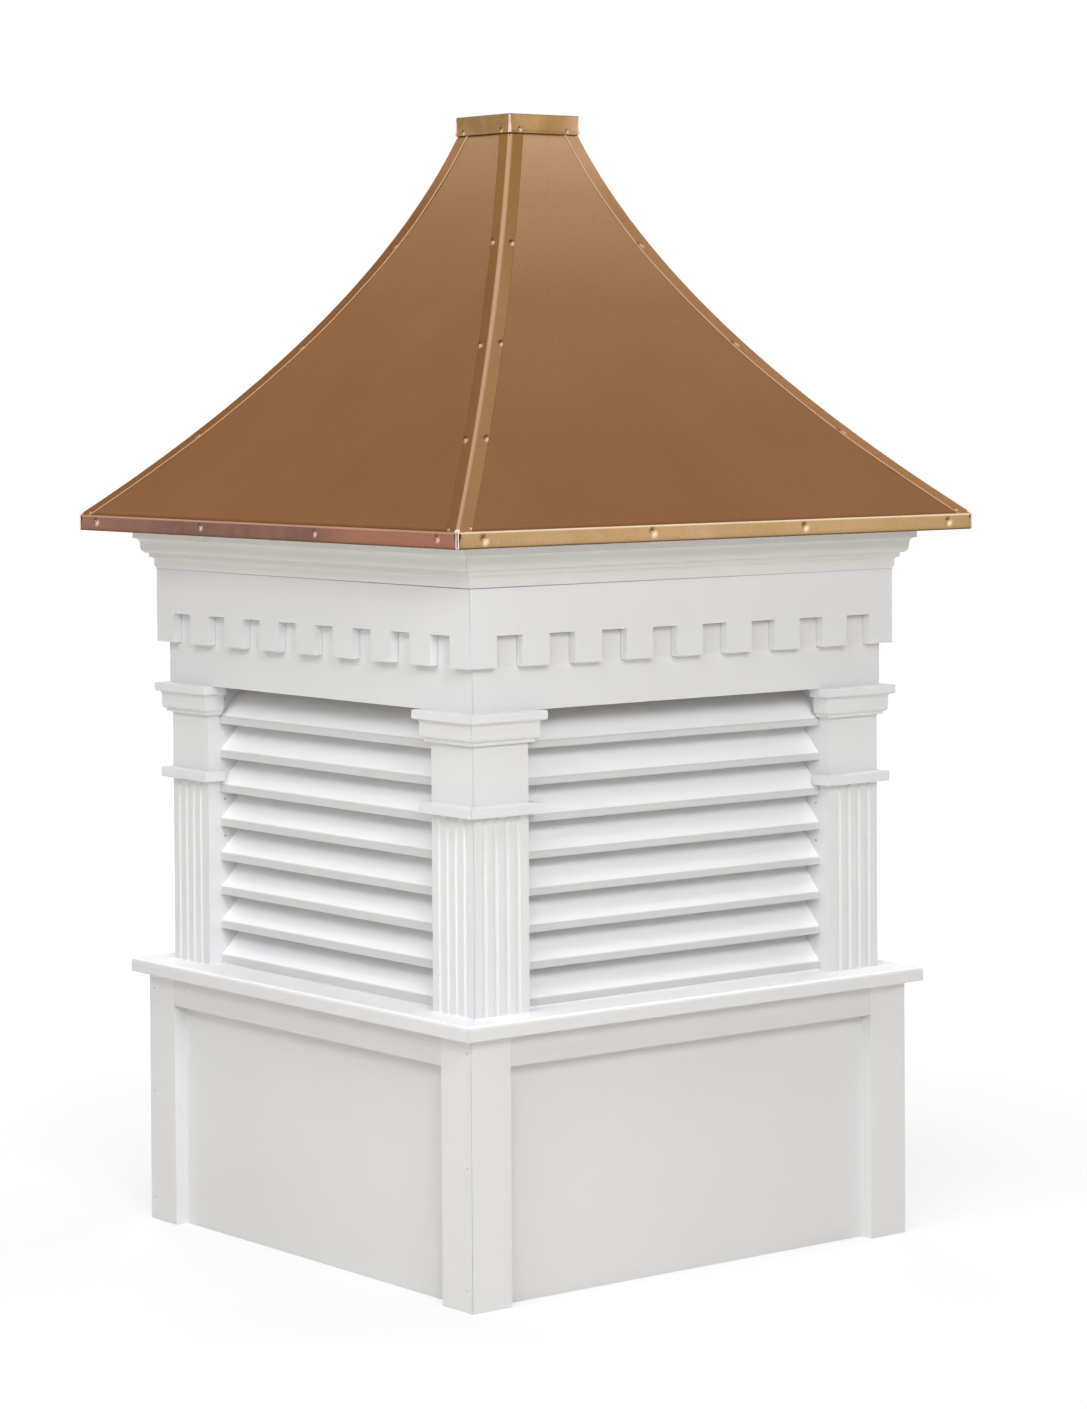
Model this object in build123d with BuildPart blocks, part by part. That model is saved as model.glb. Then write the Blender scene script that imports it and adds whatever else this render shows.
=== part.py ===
"""Roof cupola: a square louvred ventilator with a concave copper roof.

Millimetres, +Z up, origin at the centre of the base's underside. The four sides are
named front (-Y), right (+X), back (+Y) and left (-X). Every outline is drawn either in
a side's section (outward, up) or on its face (along, up), and repeated by a turn of 90
degrees. The object stands on the lower edges of its base panels and corner boards.
"""
from build123d import *
import math
import os

os.makedirs("parts", exist_ok=True)

# ---- sides and corners -----------------------------------------------------------
SIDES = {"front": 0, "right": 90, "back": 180, "left": 270}
# each corner is named by the side whose right-hand end it is
CORNERS = {"front_right": 0, "back_right": 90, "back_left": 180, "front_left": 270}
overrun = 600  # lengths are drawn this far past the corner, then mitred
mitre_gap = 0.3  # open joint between two mitred pieces

# ---- base box ----------------------------------------------------------------------
base_half = 381  # outer face of the base trim, 30 in square
base_height = 355  # floor to the underside of the sill
trim_thickness = 20  # corner boards, rails and post boards
base_trim_width = 64.5
base_rail_height = 42
panel_thickness = 12.7

# ---- sill --------------------------------------------------------------------------
sill_overhang = 18.7  # beyond the base trim
sill_thickness = 20
sill_ledge = 4.9  # sill inside the back of the louvre jambs
sill_nose = 5  # quarter round on the upper edge
sill_nose_step = 1

# ---- fluted corner posts -----------------------------------------------------------
post_setback = 26.4  # face of the post boards behind the base trim
post_width = 90.2
post_height = 395.2  # sill to the underside of the frieze
flute_count = 4
flute_width = 8
flute_depth = 3
flute_margin = 13.8  # plain edge on either side of the row of flutes

# ---- neck band and capital ---------------------------------------------------------
band_height = 14.6
band_projection = 12.4
band_lift = 260.4  # sill to the band's underside
band_round = 3
capital_height = 41.4
capital_bead = 6.5  # projection of its lowest bead
capital_bead_height = 4.5
capital_neck = 11.3  # projection of its flat middle
capital_neck_rise = 6.5  # hollow between bead and neck
capital_projection = 18.5  # of its upper member, the fillet
capital_fillet_height = 10
capital_fillet_round = 2  # on its upper edge
capital_flare = 8.5  # height of the hollow from the neck up to the fillet
capital_quirk_height = 3  # upper part of that hollow
capital_quirk_width = 2.2  # out from the neck

# ---- louvres -----------------------------------------------------------------------
blade_count = 8
blade_lift = 2  # open line between sill and lowest blade
blade_head = 45  # highest blade's front edge to the frieze
blade_thickness = 6.3
blade_slope = 48
blade_depth = 42  # from the front edge straight inward
blade_arris = 0.8
blade_clearance = 0.3  # at each end, to the jamb
jamb_thickness = 19
jamb_depth = 50

# ---- frieze, dentils and crown -----------------------------------------------------
frieze_projection = 2.5  # beyond the post boards
dentil_board_thickness = 12.9
dentil_lift = 58.7  # frieze's lower edge to the dentils' feet
dentil_board_height = 103.8
dentil_gap_count = 8
dentil_gap_width = 42
dentil_gap_height = 41.2
dentil_corner_block = 43.8  # outer corner to the nearest gap
crown_height = 57.1
crown_toe = 2.4  # this and the next three are projections from the dentil board
crown_step = 7.8
crown_belly = 16.8
crown_projection = 24.7
crown_toe_low = 4.7  # this and the next five are heights above the crown's underside
crown_toe_high = 10.4
crown_step_low = 16.3
crown_step_high = 22
crown_belly_high = 32.5
crown_fillet_low = 43.4

# ---- eave --------------------------------------------------------------------------
eave_overhang = 54.9  # outer face of the copper drip edge beyond the crown
soffit_thickness = 12
soffit_bearing = 16.5  # soffit board's seat on the frieze board
drip_height = 22.3
drip_drop = 2.2  # drip edge below the soffit's underside
drip_lip = 12
copper_thickness = 1

# ---- roof --------------------------------------------------------------------------
roof_rise = 551.4  # copper's lower edge to its upper edge
roof_foot_drop = 1.5  # copper's lower edge below the top of the drip edge
roof_sag = 53.5  # how far the curve hangs in from its chord, at mid height
sheathing_thickness = 12
underlay_gap = 0.8  # felt between sheathing and copper
hip_cap_width = 24
hip_cap_thickness = 1.2

# ---- peak --------------------------------------------------------------------------
peak_block_height = 26
peak_block_clearance = 0.3  # to the sheathing's upper edges
cap_half = 62.7
cap_inset = 9.1  # copper's upper edge inside the cap's outer face
cap_height = 26.4
cap_cover = 8.6  # cap's top plate above the copper's upper edge
cap_thickness = 1.2

# ---- levels worked out from the sizes ----------------------------------------------
base_top = base_height
sill_top = base_top + sill_thickness
frieze_bottom = sill_top + post_height
band_bottom = sill_top + band_lift
capital_bottom = frieze_bottom - capital_height
dentil_bottom = frieze_bottom + dentil_lift
crown_bottom = dentil_bottom + dentil_board_height
soffit_bottom = crown_bottom + crown_height
soffit_top = soffit_bottom + soffit_thickness
drip_bottom = soffit_bottom - drip_drop
drip_top = drip_bottom + drip_height
roof_foot = drip_top - roof_foot_drop
roof_top = roof_foot + roof_rise
cap_top = roof_top + cap_cover

# ---- distances from the axis worked out from the sizes -----------------------------
panel_half = base_half - trim_thickness
base_trim_inner = base_half - base_trim_width
sill_half = base_half + sill_overhang
post_half = base_half - post_setback
post_back = post_half - trim_thickness
post_inner = post_half - post_width
sill_inner = post_back - jamb_depth - sill_ledge
frieze_half = post_half + frieze_projection
dentil_half = frieze_half + dentil_board_thickness
crown_half = dentil_half + crown_projection
eave_half = crown_half + eave_overhang
soffit_half = eave_half - copper_thickness
soffit_inner = frieze_half - soffit_bearing
roof_foot_half = soffit_half
roof_top_half = cap_half - cap_inset
sheathing_outer_depth = copper_thickness + underlay_gap  # below the copper's outer face
sheathing_depth = sheathing_outer_depth + sheathing_thickness
peak_block_half = roof_top_half - sheathing_depth / math.sqrt(2) - peak_block_clearance


def directions(turn):
    """Unit vectors along a side and straight out of it."""
    angle = math.radians(turn)
    along = Vector(math.cos(angle), math.sin(angle), 0)
    outward = Vector(math.sin(angle), -math.cos(angle), 0)
    return along, outward


def face_plane(turn, half):
    """A side's outer face: x along the side, y up, z outward."""
    along, outward = directions(turn)
    return Plane(origin=outward * half, x_dir=along, z_dir=outward)


def section_plane(turn, hand=1, distance=0):
    """A cut across a side: x outward, y up, z towards its middle (hand 1 is right)."""
    along, outward = directions(turn)
    return Plane(origin=along * (hand * distance), x_dir=outward, z_dir=along * -1)


def mitre_plane(turn, hand, inset=mitre_gap / 2):
    """The diagonal cut at one end of a side; what is kept lies below this plane."""
    along, outward = directions(turn)
    normal = (along * hand - outward).normalized()
    return Plane(origin=normal * -inset, z_dir=normal)


def finish(sub_part, name):
    """Label a piece and write it."""
    sub_part.part.label = name
    export_step(sub_part.part, f"parts/{name}.step")


def rectangle(inner, outer, low, high):
    """A plain board's section."""
    Polyline((inner, low), (outer, low), (outer, high), (inner, high), close=True)


def mitred_side(turn, draw_section):
    """One side of a square ring, mitred at both of its corners."""
    with BuildPart() as side:
        with BuildSketch(section_plane(turn)):
            with BuildLine():
                draw_section()
            make_face()
        extrude(amount=overrun, both=True)
        for hand in (-1, 1):
            split(bisect_by=mitre_plane(turn, hand), keep=Keep.BOTTOM)
    return side.part


def corner_length(turn, hand, inner, draw_section):
    """A short length that runs from a square inner end to the mitre at its corner."""
    with BuildPart() as length:
        with BuildSketch(section_plane(turn, hand, inner)):
            with BuildLine():
                draw_section()
            make_face()
        extrude(amount=-hand * overrun)
        split(bisect_by=mitre_plane(turn, hand), keep=Keep.BOTTOM)
    return length.part


def returned_moulding(turn, hand, draw_section):
    """A moulding on a post board: round the board's inner edge, then to the mitre.

    The section is drawn outward from the board's face, which is at 0.
    """
    along, outward = directions(turn)
    edge = along * (hand * post_inner)
    back = edge + outward * post_back
    face = edge + outward * post_half
    end = along * (hand * overrun) + outward * post_half
    with BuildPart() as moulding:
        with BuildLine() as route:
            Polyline(back, face, end)
        with BuildSketch(Plane(origin=back, x_dir=along * -hand, z_dir=outward * -hand)) as end_section:
            with BuildLine():
                draw_section()
            make_face()
        sweep(sections=end_section.sketch, path=route.line, transition=Transition.RIGHT)
        split(bisect_by=mitre_plane(turn, hand), keep=Keep.BOTTOM)
    return moulding.part


def corner_sides(turn):
    """The two sides that meet at a corner, with the end of each that is there."""
    return ((turn, 1), (turn + 90, -1))


# ---- base: panels, corner boards and rails -----------------------------------------
with BuildPart() as base_panels:
    for turn in SIDES.values():
        add(mitred_side(turn, lambda: rectangle(panel_half - panel_thickness, panel_half, 0, base_top)))
finish(base_panels, "base_panels")

for name, turn in CORNERS.items():
    with BuildPart() as base_corner_board:
        for side_turn, hand in corner_sides(turn):
            add(corner_length(side_turn, hand, base_trim_inner,
                              lambda: rectangle(panel_half, base_half, 0, base_top)))
    finish(base_corner_board, f"base_corner_board_{name}")

with BuildPart() as base_top_rails:
    for turn in SIDES.values():
        with BuildSketch(face_plane(turn, panel_half)):
            with Locations((0, base_top - base_rail_height / 2)):
                Rectangle(2 * base_trim_inner - mitre_gap, base_rail_height)
        extrude(amount=trim_thickness)
finish(base_top_rails, "base_top_rails")


# ---- sill --------------------------------------------------------------------------
def sill_section():
    """A flat board with a quarter-round nose below a small step."""
    nose_top = sill_top - sill_nose_step
    flat_edge = sill_half - sill_nose
    Polyline(
        (sill_half, nose_top - sill_nose),
        (sill_half, base_top),
        (sill_inner, base_top),
        (sill_inner, sill_top),
        (flat_edge, sill_top),
        (flat_edge, nose_top),
    )
    RadiusArc((flat_edge, nose_top), (sill_half, nose_top - sill_nose), sill_nose)


for name, turn in SIDES.items():
    with BuildPart() as sill_board:
        add(mitred_side(turn, sill_section))
    finish(sill_board, f"sill_board_{name}")


# ---- fluted corner posts -----------------------------------------------------------
flute_pitch = (post_width - 2 * flute_margin - flute_width) / (flute_count - 1)
flute_radius = (flute_width**2 / 4 + flute_depth**2) / (2 * flute_depth)
flute_axis = post_half + flute_radius - flute_depth
flute_height = band_lift + band_height / 2  # each flute runs out behind the neck band
post_middle = post_half - post_width / 2


def fluted_board(turn, hand):
    """One board of a corner post with its row of flutes."""
    along, outward = directions(turn)
    with BuildPart() as board:
        add(corner_length(turn, hand, post_inner,
                          lambda: rectangle(post_back, post_half, sill_top, frieze_bottom)))
        foot = Plane(
            origin=along * (hand * post_middle) + outward * flute_axis + Vector(0, 0, sill_top),
            x_dir=along,
            z_dir=(0, 0, 1),
        )
        with BuildSketch(foot):
            with GridLocations(flute_pitch, 0, flute_count, 1):
                Circle(flute_radius)
        extrude(amount=flute_height, mode=Mode.SUBTRACT)
    return board.part


for name, turn in CORNERS.items():
    with BuildPart() as fluted_post:
        for side_turn, hand in corner_sides(turn):
            add(fluted_board(side_turn, hand))
    finish(fluted_post, f"fluted_post_{name}")


# ---- neck bands and capitals -------------------------------------------------------
def band_section():
    """A flat band with a rounded upper edge."""
    band_top = band_bottom + band_height
    Polyline(
        (band_projection, band_top - band_round),
        (band_projection, band_bottom),
        (0, band_bottom),
        (0, band_top),
        (band_projection - band_round, band_top),
    )
    RadiusArc((band_projection - band_round, band_top), (band_projection, band_top - band_round), band_round)


def capital_section():
    """A bead, a hollow up to a flat neck, and an overhanging round-edged fillet."""
    bead_top = capital_bottom + capital_bead_height
    neck_low = bead_top + capital_neck_rise
    fillet_low = frieze_bottom - capital_fillet_height
    neck_high = fillet_low - capital_flare
    quirk = (capital_neck + capital_quirk_width, fillet_low - capital_quirk_height)
    round_inner = (capital_projection - capital_fillet_round, frieze_bottom)
    round_low = (capital_projection, frieze_bottom - capital_fillet_round)
    Polyline((capital_bead, bead_top), (capital_bead, capital_bottom), (0, capital_bottom),
             (0, frieze_bottom), round_inner)
    RadiusArc(round_inner, round_low, capital_fillet_round)
    Line(round_low, (capital_projection, fillet_low))
    Bezier((capital_projection, fillet_low), (capital_projection, quirk[1]), quirk)
    Bezier(quirk, (capital_neck, quirk[1]), (capital_neck, neck_high))
    Line((capital_neck, neck_high), (capital_neck, neck_low))
    Bezier((capital_neck, neck_low), (capital_neck, bead_top), (capital_bead, bead_top))


def moulding_ring(draw_section):
    """The same moulding at all four posts: eight lengths that meet in mitres."""
    with BuildPart() as ring:
        for turn in SIDES.values():
            for hand in (-1, 1):
                add(returned_moulding(turn, hand, draw_section))
    return ring


finish(moulding_ring(band_section), "post_neck_bands")
finish(moulding_ring(capital_section), "post_capitals")

# ---- louvres -----------------------------------------------------------------------
blade_front_height = blade_thickness / math.cos(math.radians(blade_slope))
blade_pitch = (post_height - blade_lift - blade_front_height - blade_head) / (blade_count - 1)
blade_rise = blade_depth * math.tan(math.radians(blade_slope))

for name, turn in SIDES.items():
    with BuildPart() as louvre_blades:
        for index in range(blade_count):
            low = sill_top + blade_lift + index * blade_pitch
            high = low + blade_front_height
            with BuildSketch(section_plane(turn)) as blade:
                with BuildLine():
                    Polyline(
                        (post_back, low),
                        (post_back, high),
                        (post_back - blade_depth, high + blade_rise),
                        (post_back - blade_depth, low + blade_rise),
                        close=True,
                    )
                make_face()
                front_corners = blade.vertices().sort_by(Axis((0, 0, 0), directions(turn)[1]))[-2:]
                fillet(front_corners, radius=blade_arris)
            extrude(amount=post_inner - blade_clearance, both=True)
    finish(louvre_blades, f"louvre_blades_{name}")

with BuildPart() as louvre_jambs:
    for turn in SIDES.values():
        with BuildSketch(face_plane(turn, post_back)):
            for hand in (-1, 1):
                with Locations((hand * (post_inner + jamb_thickness / 2), sill_top + post_height / 2)):
                    Rectangle(jamb_thickness, post_height)
        extrude(amount=-jamb_depth)
finish(louvre_jambs, "louvre_jambs")

# ---- frieze and dentil boards ------------------------------------------------------
dentil_row = 2 * (dentil_half - dentil_corner_block)  # over the outermost gaps
dentil_pitch = (dentil_row - dentil_gap_width) / (dentil_gap_count - 1)

with BuildPart() as frieze_boards:
    for turn in SIDES.values():
        add(mitred_side(turn, lambda: rectangle(post_back, frieze_half, frieze_bottom, soffit_bottom)))
finish(frieze_boards, "frieze_boards")

for name, turn in SIDES.items():
    with BuildPart() as dentil_board:
        add(mitred_side(turn, lambda: rectangle(frieze_half, dentil_half, dentil_bottom, crown_bottom)))
        with BuildSketch(face_plane(turn, dentil_half)):
            with Locations((0, dentil_bottom)):
                with GridLocations(dentil_pitch, 0, dentil_gap_count, 1):
                    Rectangle(dentil_gap_width, dentil_gap_height, align=(Align.CENTER, Align.MIN))
        extrude(amount=-dentil_board_thickness, mode=Mode.SUBTRACT)
    finish(dentil_board, f"dentil_board_{name}")


# ---- crown moulding ----------------------------------------------------------------
def crown_section():
    """Toe, small hollow, step, then a swelling and a hollow up to the top fillet."""
    toe = dentil_half + crown_toe
    step = dentil_half + crown_step
    belly = dentil_half + crown_belly
    toe_low, toe_high = crown_bottom + crown_toe_low, crown_bottom + crown_toe_high
    step_low, step_high = crown_bottom + crown_step_low, crown_bottom + crown_step_high
    belly_high = crown_bottom + crown_belly_high
    fillet_low = crown_bottom + crown_fillet_low
    Polyline(
        (crown_half, fillet_low),
        (crown_half, soffit_bottom),
        (frieze_half, soffit_bottom),
        (frieze_half, crown_bottom),
        (dentil_half, crown_bottom),
        (toe, toe_low),
        (toe, toe_high),
    )
    Bezier((toe, toe_high), (toe, step_low), (step, step_low))
    Line((step, step_low), (step, step_high))
    Bezier((step, step_high), (belly, step_high), (belly, belly_high))
    Bezier((belly, belly_high), (belly, fillet_low), (crown_half, fillet_low))


for name, turn in SIDES.items():
    with BuildPart() as crown_moulding:
        add(mitred_side(turn, crown_section))
    finish(crown_moulding, f"crown_moulding_{name}")

# ---- soffit and drip edge ----------------------------------------------------------
with BuildPart() as soffit_boards:
    for turn in SIDES.values():
        add(mitred_side(turn, lambda: rectangle(soffit_inner, soffit_half, soffit_bottom, soffit_top)))
finish(soffit_boards, "soffit_boards")


def drip_section():
    """An upright copper strip with a lip turned in below the soffit."""
    lip_inner = eave_half - drip_lip
    lip_top = drip_bottom + copper_thickness
    Polyline(
        (soffit_half, drip_top),
        (eave_half, drip_top),
        (eave_half, drip_bottom),
        (lip_inner, drip_bottom),
        (lip_inner, lip_top),
        (soffit_half, lip_top),
        close=True,
    )


with BuildPart() as eave_drip_edges:
    for turn in SIDES.values():
        add(mitred_side(turn, drip_section))
finish(eave_drip_edges, "eave_drip_edges")


# ---- roof --------------------------------------------------------------------------
def roof_curve(depth):
    """The roof's hollow curve, sunk below the copper's outer face by a depth."""
    shift = depth / math.sqrt(2)
    foot = Vector(roof_foot_half - shift, roof_foot - shift)
    top = Vector(roof_top_half - shift, roof_top - shift)
    pull = (foot + top) * 0.5 - Vector(2 * roof_sag, 0)
    return foot, pull, top


def roof_layer_section(outer_depth, inner_depth):
    """The section of a layer between two depths below the copper's face."""
    outer = roof_curve(outer_depth)
    inner = roof_curve(inner_depth)
    Bezier(*outer)
    Line(outer[-1], inner[-1])
    Bezier(*inner[::-1])
    Line(inner[0], outer[0])


with BuildPart() as roof_sheathing:
    for turn in SIDES.values():
        add(mitred_side(turn, lambda: roof_layer_section(sheathing_outer_depth, sheathing_depth)))
    split(bisect_by=Plane.XY.offset(soffit_top), keep=Keep.TOP)
finish(roof_sheathing, "roof_sheathing")

for name, turn in SIDES.items():
    with BuildPart() as copper_panel:
        add(mitred_side(turn, lambda: roof_layer_section(0, copper_thickness)))
    finish(copper_panel, f"copper_panel_{name}")


def hip_leg(turn, hand):
    """Half of a hip cap: a strip of one roof face beside the hip."""
    hip_inset = hip_cap_width / math.sqrt(2)
    with BuildPart() as leg:
        with BuildSketch(section_plane(turn)):
            with BuildLine():
                roof_layer_section(-hip_cap_thickness, 0)
            make_face()
        extrude(amount=-hand * overrun)
        split(bisect_by=mitre_plane(turn, hand, 0), keep=Keep.BOTTOM)
        split(bisect_by=mitre_plane(turn, hand, hip_inset), keep=Keep.TOP)
    return leg.part


for name, turn in CORNERS.items():
    with BuildPart() as hip_cap:
        for side_turn, hand in corner_sides(turn):
            add(hip_leg(side_turn, hand))
        split(bisect_by=Plane.XY.offset(drip_top), keep=Keep.TOP)
    finish(hip_cap, f"hip_cap_{name}")

# ---- peak block and cap ------------------------------------------------------------
with BuildPart() as peak_block:
    with BuildSketch(Plane.XY.offset(cap_top - cap_thickness)):
        Rectangle(2 * peak_block_half, 2 * peak_block_half)
    extrude(amount=-peak_block_height)
finish(peak_block, "peak_block")

with BuildPart() as top_cap:
    with BuildSketch(Plane.XY.offset(cap_top)):
        Rectangle(2 * cap_half, 2 * cap_half)
    extrude(amount=-cap_height)
    with BuildSketch(Plane.XY.offset(cap_top - cap_thickness)):
        Rectangle(2 * (cap_half - cap_thickness), 2 * (cap_half - cap_thickness))
    extrude(amount=-cap_height, mode=Mode.SUBTRACT)
finish(top_cap, "top_cap")
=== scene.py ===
"""Looks of the roof cupola: white trim under a hollow-curved copper roof.

Metres, +Z up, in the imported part's own frame. The white trim keeps its CAD solids and gets
its finish here. The copper is modelled again as thin dented sheet, with its nails and solder.
"""

import math
import random

import bmesh
import bpy
from mathutils import Matrix, Vector, noise


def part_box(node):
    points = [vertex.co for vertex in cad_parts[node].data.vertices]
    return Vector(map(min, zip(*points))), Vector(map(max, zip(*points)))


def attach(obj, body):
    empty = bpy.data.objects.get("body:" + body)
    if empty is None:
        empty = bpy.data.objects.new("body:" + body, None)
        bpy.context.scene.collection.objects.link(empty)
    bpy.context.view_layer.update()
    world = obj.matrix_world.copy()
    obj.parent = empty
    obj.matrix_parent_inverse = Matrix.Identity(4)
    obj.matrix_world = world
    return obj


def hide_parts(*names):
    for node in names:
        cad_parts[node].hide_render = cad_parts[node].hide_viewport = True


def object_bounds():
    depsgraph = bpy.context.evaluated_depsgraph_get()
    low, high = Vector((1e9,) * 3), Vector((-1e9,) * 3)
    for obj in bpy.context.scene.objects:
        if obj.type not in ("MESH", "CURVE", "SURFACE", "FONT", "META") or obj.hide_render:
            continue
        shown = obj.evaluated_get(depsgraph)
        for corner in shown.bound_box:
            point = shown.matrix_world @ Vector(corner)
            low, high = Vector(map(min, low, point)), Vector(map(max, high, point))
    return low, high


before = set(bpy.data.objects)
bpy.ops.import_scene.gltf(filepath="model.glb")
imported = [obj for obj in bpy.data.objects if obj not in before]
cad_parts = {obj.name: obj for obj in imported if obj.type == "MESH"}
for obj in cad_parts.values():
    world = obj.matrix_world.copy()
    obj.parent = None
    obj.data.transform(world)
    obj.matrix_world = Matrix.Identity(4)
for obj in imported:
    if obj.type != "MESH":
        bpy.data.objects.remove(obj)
cad_low, cad_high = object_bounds()

MM = 0.001
BODY = "root"
SIDES = {"front": 0, "right": 90, "back": 180, "left": 270}
CORNERS = {"front_right": 0, "back_right": 90, "back_left": 180, "front_left": 270}
SIDE_ENDS = [(turn, hand) for turn in SIDES.values() for hand in (-1, 1)]

# ---- sizes read from the frame: a box is its low and its high corner ----
panel_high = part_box("copper_panel_front")[1]
drip_low, drip_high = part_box("eave_drip_edges")
cap_low, cap_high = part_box("top_cap")
base_low, base_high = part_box("base_corner_board_front_left")
jamb_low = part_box("louvre_jambs")[0]
blade_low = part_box("louvre_blades_front")[0]
sill_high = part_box("sill_board_right")[1]
dentil_low, dentil_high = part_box("dentil_board_front")
frieze_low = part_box("frieze_boards")[0]

EAVE = drip_high.x  # outer face of the drip edge
DRIP_TOP = drip_high.z
DRIP_BOTTOM = drip_low.z
CAP = cap_high.x  # outer face of the cap's walls
CAP_HEIGHT = cap_high.z - cap_low.z
BASE_TOP = base_high.z
BASE_FACE = -base_low.x
BLADE_FACE = -blade_low.y
SILL_FACE = sill_high.x
FRIEZE_FACE = -frieze_low.y
DENTIL_FACE = -dentil_low.y
JAMB_FRONT = -jamb_low.y
JAMB_FACE = 264.4 * MM  # inner face of a jamb, from the side's middle

# ---- the roof's curve, in (outward, up) ----
COPPER = 1.0 * MM  # modelled sheet
CAP_INSET = 9.1 * MM  # the copper's upper edge inside the cap
SAG = 53.5 * MM  # at mid height, in from the chord
FOOT_DROP = 1.5 * MM  # the curve's foot below the drip edge's rolled top
foot = Vector((EAVE - COPPER, DRIP_TOP - FOOT_DROP))
peak = Vector((CAP - CAP_INSET, panel_high.z))
pull = (foot + peak) / 2 - Vector((2 * SAG, 0))


def roof_point(t):
    """Point of the roof's curve, t from 0 at the eave to 1 at the cap."""
    return (1 - t) ** 2 * foot + 2 * t * (1 - t) * pull + t * t * peak


def roof_normal(t):
    """Outward normal of the roof's curve."""
    along = (1 - t) * (pull - foot) + t * (peak - pull)
    return Vector((along.y, -along.x)).normalized()


def hip_lengths(steps=400):
    """Length of the hip from its foot to each of a row of t values."""
    table = [(0.0, 0.0)]
    for i in range(1, steps + 1):
        a, b = roof_point((i - 1) / steps), roof_point(i / steps)
        run = math.sqrt(2 * (b.x - a.x) ** 2 + (b.y - a.y) ** 2)
        table.append((table[-1][0] + run, i / steps))
    return table


HIP_TABLE = hip_lengths()
HIP_LENGTH = HIP_TABLE[-1][0]


def hip_parameter(length):
    """The curve's t at a length along the hip."""
    for (l0, t0), (l1, t1) in zip(HIP_TABLE, HIP_TABLE[1:]):
        if length <= l1:
            return t0 + (t1 - t0) * (length - l0) / (l1 - l0)
    return 1.0


# ---- helpers ----
MERGE = 0.00001  # points closer than this, in metres, become one
LIT_SIDE = (0.6, 0.8)  # where a dent's painted highlight lies: to the right and down
DENT_GAIN = 2.3  # brings the painted shade and highlight of a dent's walls to about 1


def turned(turn, along, outward, up):
    """A point given along a side, out from the axis and up, turned to that side."""
    a = math.radians(turn)
    return Vector((along * math.cos(a) + outward * math.sin(a),
                   along * math.sin(a) - outward * math.cos(a), up))


def smooth(x, low, high):
    """0 below low, 1 above high, smooth between."""
    x = min(max((x - low) / (high - low), 0.0), 1.0)
    return x * x * (3 - 2 * x)


def bell(x, width):
    """1 at 0, falling softly on either side."""
    return math.exp(-(x / width) ** 2)


def ripple(point, scale=1.0, seed=0.0):
    """Soft random value in about -1..1 at a point."""
    return noise.noise(Vector(point) * scale + Vector((seed, 2.7 * seed, -1.3 * seed)))


def dent_shade(right, down, radius):
    """Painted shade of a dent: -1 on its upper left wall, painted dark, to 1 on its lower right wall,
    painted bright.
    """
    toward_light = LIT_SIDE[0] * right + LIT_SIDE[1] * down
    return DENT_GAIN * toward_light / radius * bell(math.hypot(right, down), radius)


def to_corner(turn, size=4):
    """The turn from the front left corner to another, as a matrix of that size."""
    return Matrix.Rotation(math.radians(turn - CORNERS["front_left"]), size, "Z")


def grid_faces(bm, rows, closed=False, values=None):
    """Quads over rows of points, which may carry the painted shade of dents."""
    layer = bm.verts.layers.float.new("dent") if values else None
    grid = [[bm.verts.new(p) for p in row] for row in rows]
    if values:
        for row, shades in zip(grid, values):
            for vert, shade in zip(row, shades):
                vert[layer] = max(-1.0, min(1.0, shade))
    for lower, upper in zip(grid, grid[1:]):
        count = len(lower)
        for i in range(count if closed else count - 1):
            j = (i + 1) % count
            bm.faces.new((lower[i], lower[j], upper[j], upper[i]))
    return grid


def new_object(name, bm, material):
    """Puts the mesh that was built in the scene."""
    mesh = bpy.data.meshes.new(name)
    bm.to_mesh(mesh)
    bm.free()
    mesh.materials.append(material)
    item = bpy.data.objects.new(name, mesh)
    bpy.context.scene.collection.objects.link(item)
    return item


def finish_piece(name, bm, material, sharp=40, replaces=(), thickness=0.0, turn=None):
    """Makes the object, shades it smooth, gives it its sheet thickness and lets it ride.

    A corner piece is drawn for the front left corner and turned to its own.
    """
    if turn is not None:
        bmesh.ops.transform(bm, matrix=to_corner(turn), verts=bm.verts)
    bmesh.ops.remove_doubles(bm, verts=bm.verts, dist=MERGE)
    bmesh.ops.recalc_face_normals(bm, faces=bm.faces)
    piece = new_object(name, bm, material)
    piece.data.shade_smooth()
    piece.data.set_sharp_from_angle(angle=math.radians(sharp))
    if thickness:
        solid = piece.modifiers.new("sheet", "SOLIDIFY")
        solid.thickness = thickness
        solid.offset = -1
    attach(piece, BODY)
    if replaces:
        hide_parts(*replaces)


def add_dome(bm, centre, normal, radius, height, segments=14, rings=4):
    """A low round nail head, with a short wall sunk in the surface."""
    sunk, wall = 0.35, 0.1  # shares of the height
    normal = Vector(normal).normalized()
    side = normal.orthogonal().normalized()
    other = normal.cross(side)
    profile = [(1.0, -sunk), (1.02, wall)]
    profile += [(math.cos(a), wall + (1 - wall) * math.sin(a)) for a in
                (math.pi / 2 * k / rings for k in range(1, rings))]
    around = [2 * math.pi * k / segments for k in range(segments)]
    rows = [[centre + normal * (h * height) + (side * math.cos(b) + other * math.sin(b)) * (r * radius)
             for b in around] for r, h in profile]
    grid = grid_faces(bm, rows, closed=True)
    top = bm.verts.new(centre + normal * height)
    bottom = bm.verts.new(centre - normal * (sunk * height))
    for i in range(segments):
        j = (i + 1) % segments
        bm.faces.new((grid[-1][i], grid[-1][j], top))
        bm.faces.new((grid[0][j], grid[0][i], bottom))


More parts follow.
